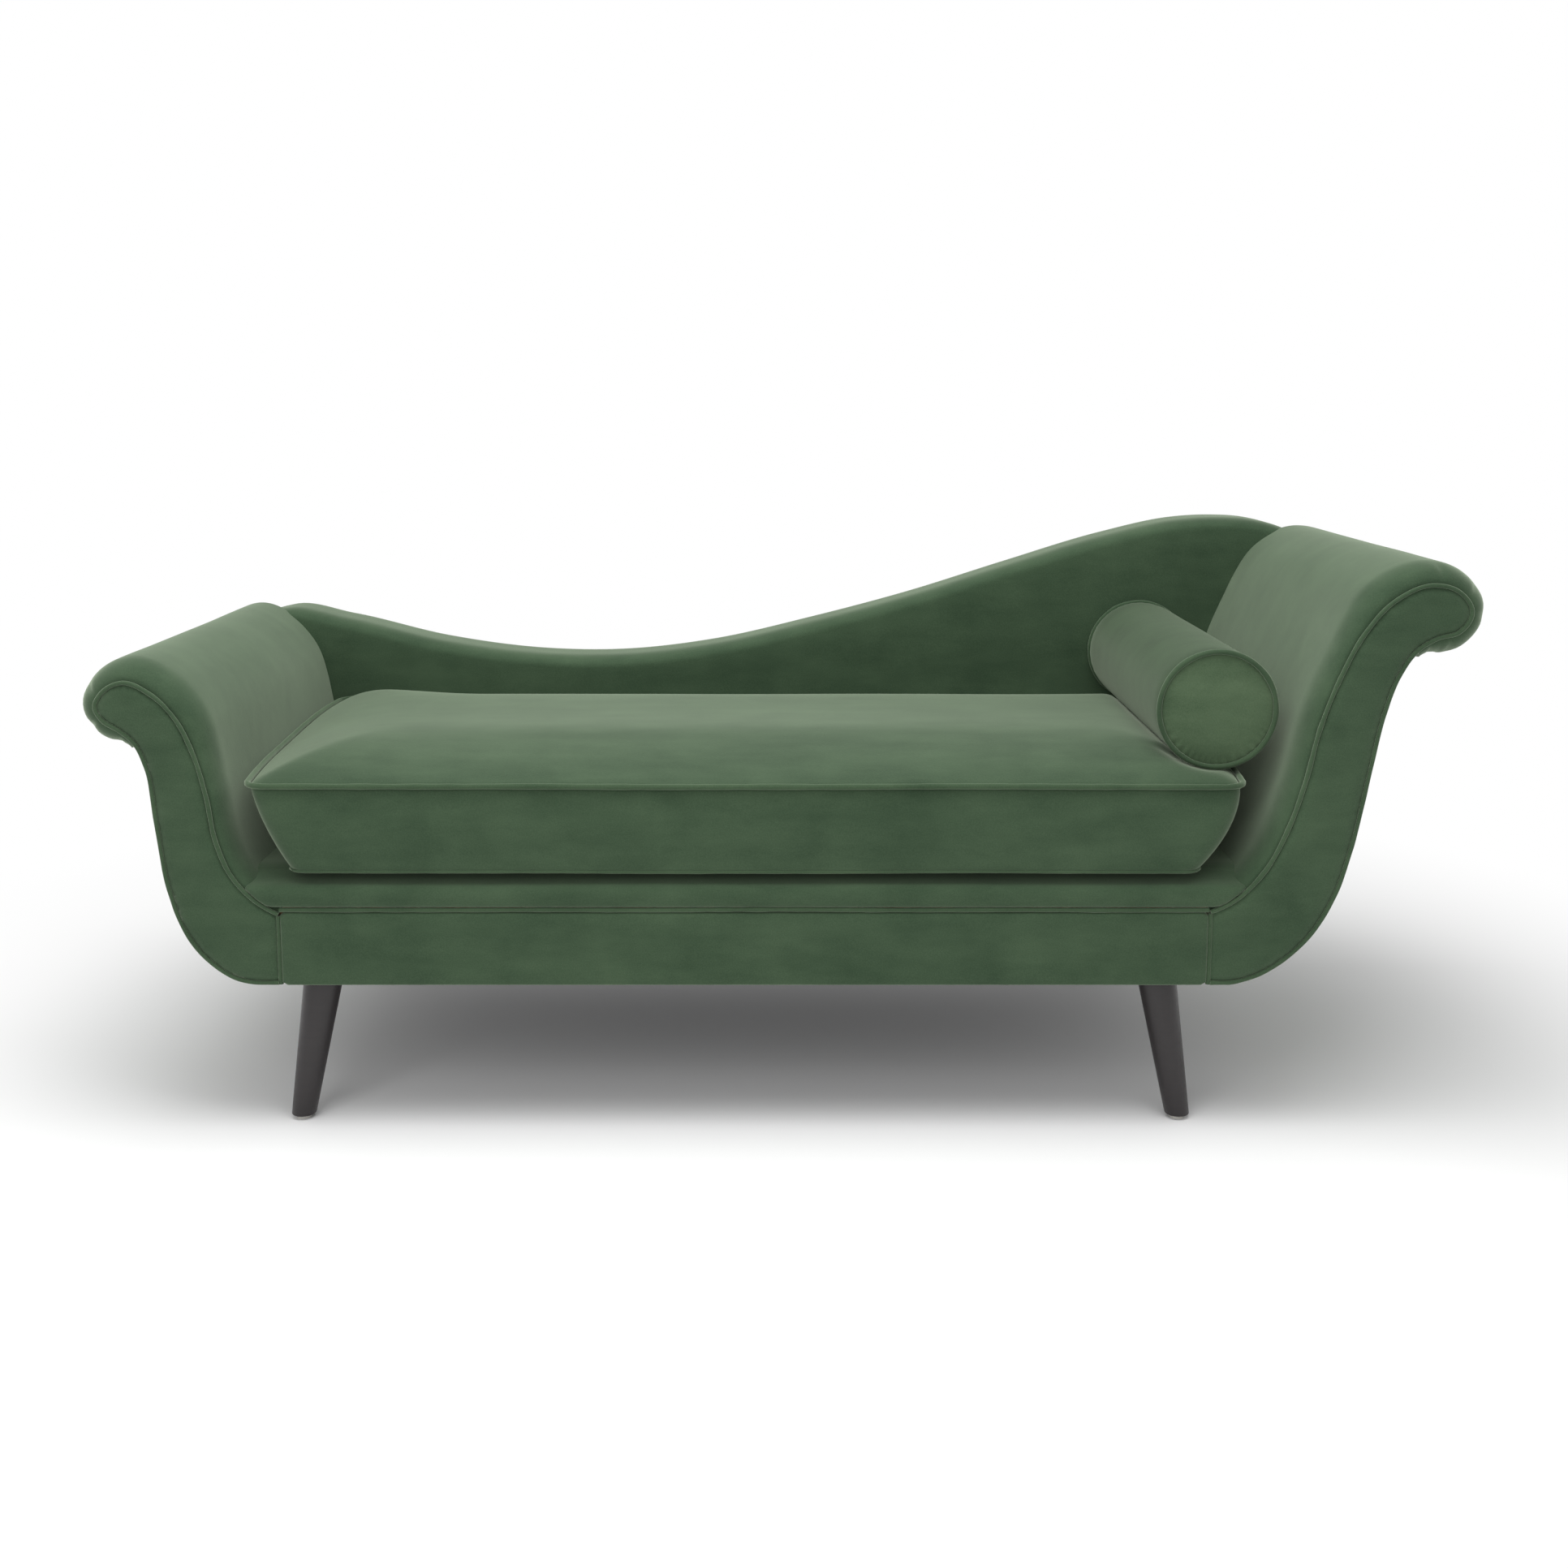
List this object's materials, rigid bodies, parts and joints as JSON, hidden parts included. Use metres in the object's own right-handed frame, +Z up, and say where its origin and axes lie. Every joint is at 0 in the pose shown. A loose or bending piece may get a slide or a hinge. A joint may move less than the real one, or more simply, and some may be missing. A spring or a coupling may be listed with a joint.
{
  "type": "chaise longue",
  "caption": "Chaise longue with unequal scroll arms, a wave-topped back, a loose welted seat cushion, a bolster and splayed tapered legs.",
  "frame": {"origin": "on the floor under the middle of the box round the whole piece", "axes": "+Z up, +X to the high arm, +Y from the open front to the back"},
  "size_m": [1.714, 0.66, 0.73],
  "materials": {
    "velvet": "matte",
    "foam": "matte",
    "frame_timber": "matte",
    "leg_timber": "satin",
    "steel": "satin",
    "webbing": "matte",
    "cambric": "matte",
    "zip_tape": "matte",
    "zip_metal": "satin",
    "glide_plastic": "matte"
  },
  "bodies": {
    "frame": {"low_arm_cover": "velvet", "high_arm_cover": "velvet", "low_arm_facing": "velvet", "high_arm_facing": "velvet", "low_arm_facing_welt": "velvet", "high_arm_facing_welt": "velvet", "low_arm_outside_panel": "velvet", "high_arm_outside_panel": "velvet", "back_cover": "velvet", "back_outside_panel": "velvet", "front_band": "velvet", "front_band_welt": "velvet", "deck_cover": "velvet", "low_arm_padding": "foam", "high_arm_padding": "foam", "back_padding": "foam", "deck_pad": "foam", "front_rail": "frame_timber", "back_rail": "frame_timber", "low_arm_end_rail": "frame_timber", "high_arm_end_rail": "frame_timber", "seat_cross_rails": "frame_timber", "corner_blocks": "frame_timber", "low_arm_front_board": "frame_timber", "high_arm_front_board": "frame_timber", "low_arm_rear_board": "frame_timber", "high_arm_rear_board": "frame_timber", "low_arm_battens": "frame_timber", "high_arm_battens": "frame_timber", "back_top_rail": "frame_timber", "back_posts": "frame_timber", "front_left_leg": "leg_timber", "front_right_leg": "leg_timber", "rear_left_leg": "leg_timber", "rear_right_leg": "leg_timber", "seat_springs": "steel", "spring_clips": "steel", "leg_plates": "steel", "hanger_bolts": "steel", "leg_plate_screws": "steel", "frame_screws": "steel", "back_webbing": "webbing", "deck_burlap": "webbing", "dust_cover": "cambric", "leg_glides": "glide_plastic"},
    "seat_cushion": {"cushion_cover": "velvet", "cushion_core": "foam", "cushion_welts": "velvet", "cushion_zip": "zip_tape"},
    "cushion_slider": {"cushion_zip_slider": "zip_metal"},
    "bolster": {"bolster_cover": "velvet", "bolster_core": "foam", "bolster_end_panels": "velvet", "bolster_welts": "velvet", "bolster_zip": "zip_tape"},
    "bolster_slider": {"bolster_zip_slider": "zip_metal"}
  },
  "joints": [
    {"name": "cushion_lift", "type": "slide", "parent": "frame", "child": "seat_cushion", "axis": [0, 0, 1], "range_m": [0, 0.25]},
    {"name": "bolster_lift", "type": "slide", "parent": "seat_cushion", "child": "bolster", "axis": [0, 0, 1], "range_m": [0, 0.25]},
    {"name": "cushion_zip_slide", "type": "slide", "parent": "seat_cushion", "child": "cushion_slider", "axis": [1, 0, 0], "range_m": [0, 0.86]},
    {"name": "bolster_zip_slide", "type": "slide", "parent": "bolster", "child": "bolster_slider", "axis": [0, 1, 0], "range_m": [0, 0.34]}
  ]
}
